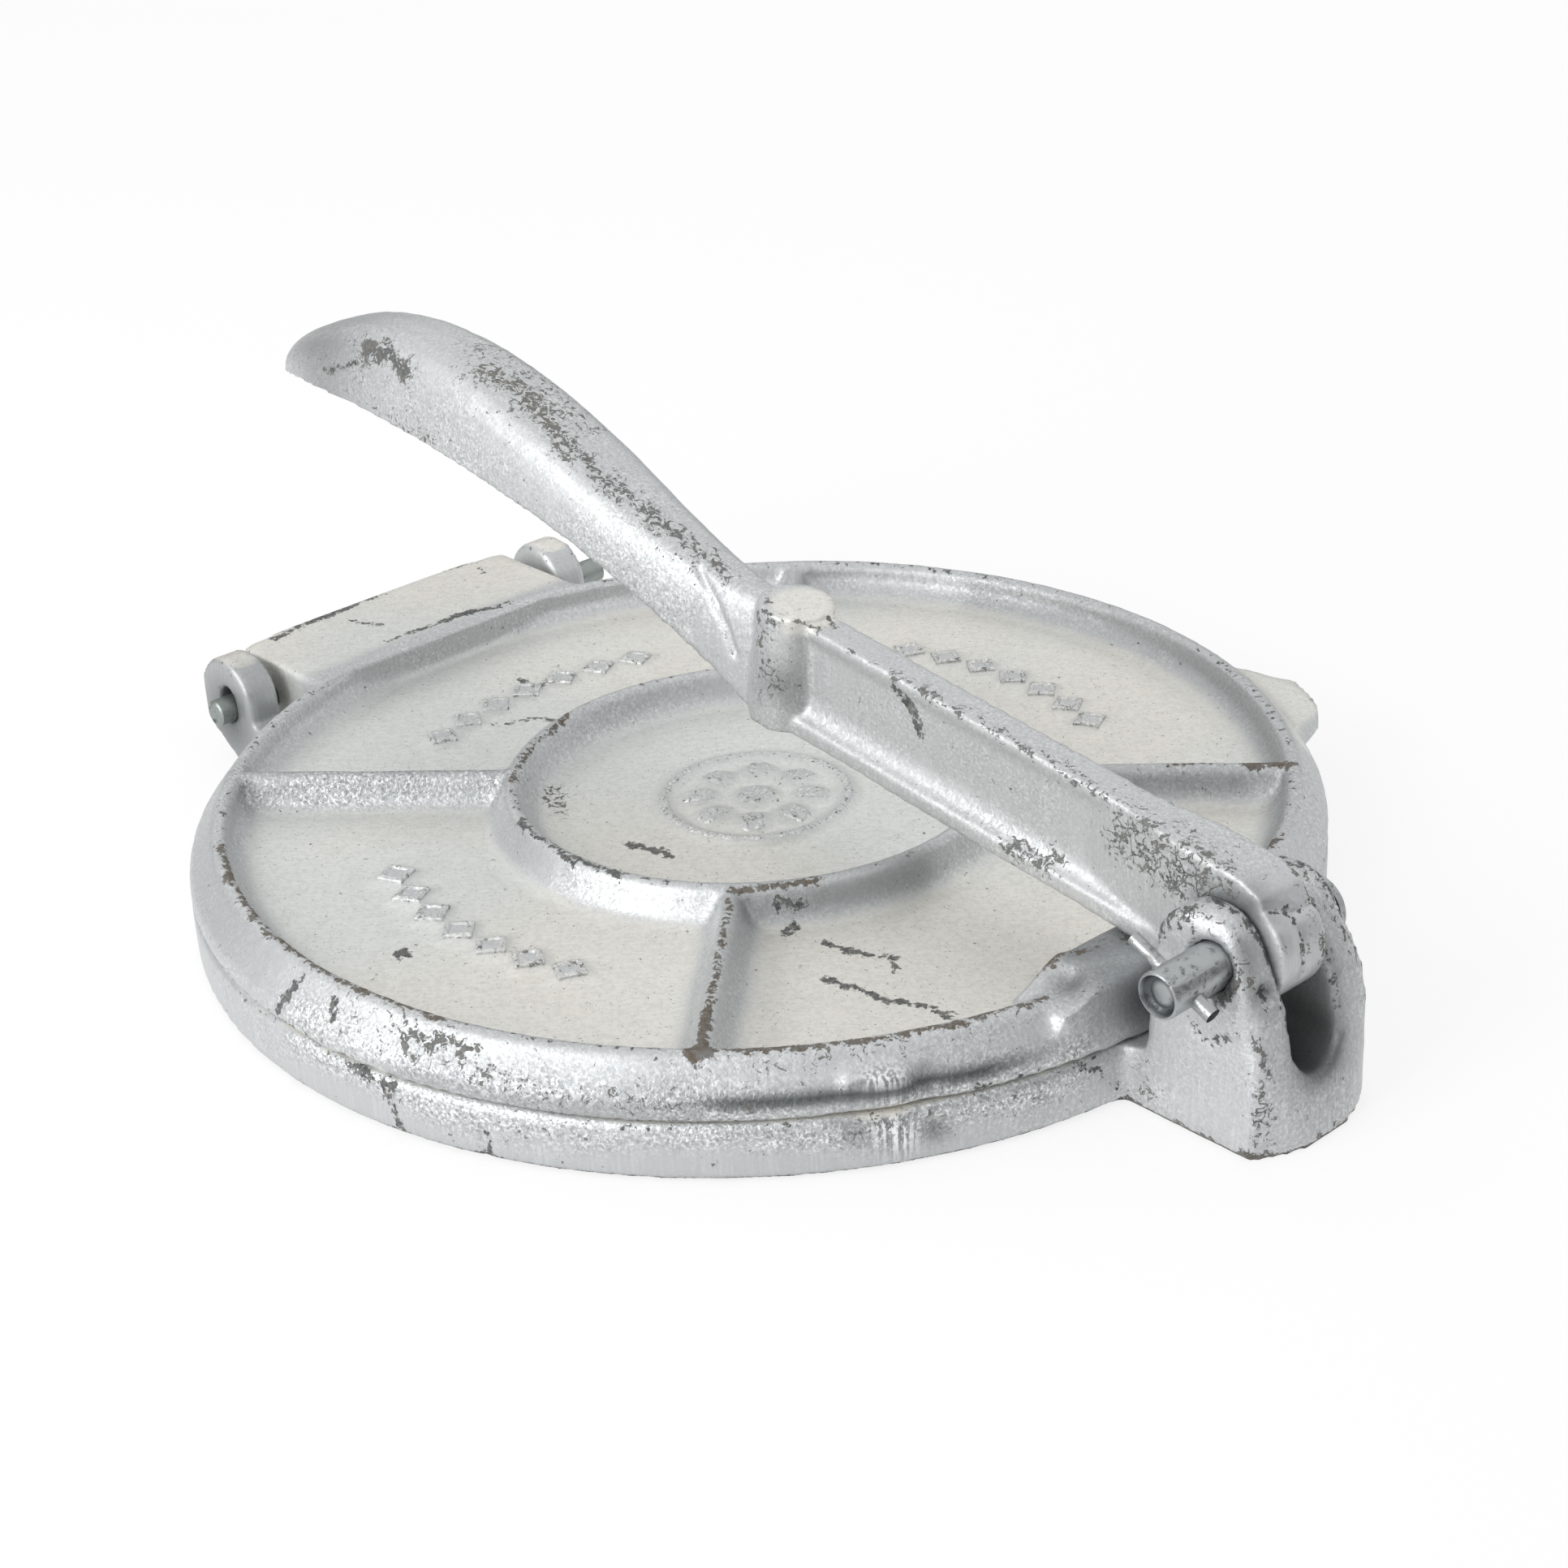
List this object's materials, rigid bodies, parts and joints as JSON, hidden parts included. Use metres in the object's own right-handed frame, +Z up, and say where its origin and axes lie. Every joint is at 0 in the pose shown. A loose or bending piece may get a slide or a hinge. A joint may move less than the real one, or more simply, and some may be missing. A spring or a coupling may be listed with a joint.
{
  "type": "tortilla press",
  "caption": "Round cast aluminium tortilla press with a ribbed hinged lid and a long curved lever on a clevis that squeezes the lid onto the base.",
  "frame": {"origin": "centre of the plates, on the table under the base", "axes": "+Z up from the table, +X from the plates' centre to the clevis, hinge at -X"},
  "size_m": [0.2722, 0.208, 0.086],
  "materials": {
    "cast_aluminium": "sand-cast, satin",
    "steel": "dull, lightly worn",
    "bright_wire": "bright"
  },
  "bodies": {
    "base": {"base_plate": "cast_aluminium", "hinge_rod": "steel", "clevis_pin": "steel", "cotter_pin": "bright_wire"},
    "lid": {"lid_plate": "cast_aluminium"},
    "lever": {"press_lever": "cast_aluminium"}
  },
  "joints": [
    {"name": "lever_swing", "type": "hinge", "parent": "base", "child": "lever", "pos_m": [0.118, 0, 0.03], "axis": [0, 1, 0], "range_deg": [0, 170]},
    {"name": "lid_hinge", "type": "hinge", "parent": "base", "child": "lid", "pos_m": [-0.1115, 0, 0.0125], "axis": [0, -1, 0], "range_deg": [0, 13.6]}
  ],
  "couplings": [
    {"joint": "lid_hinge", "follows": "lever_swing", "ratio": 0.08}
  ]
}
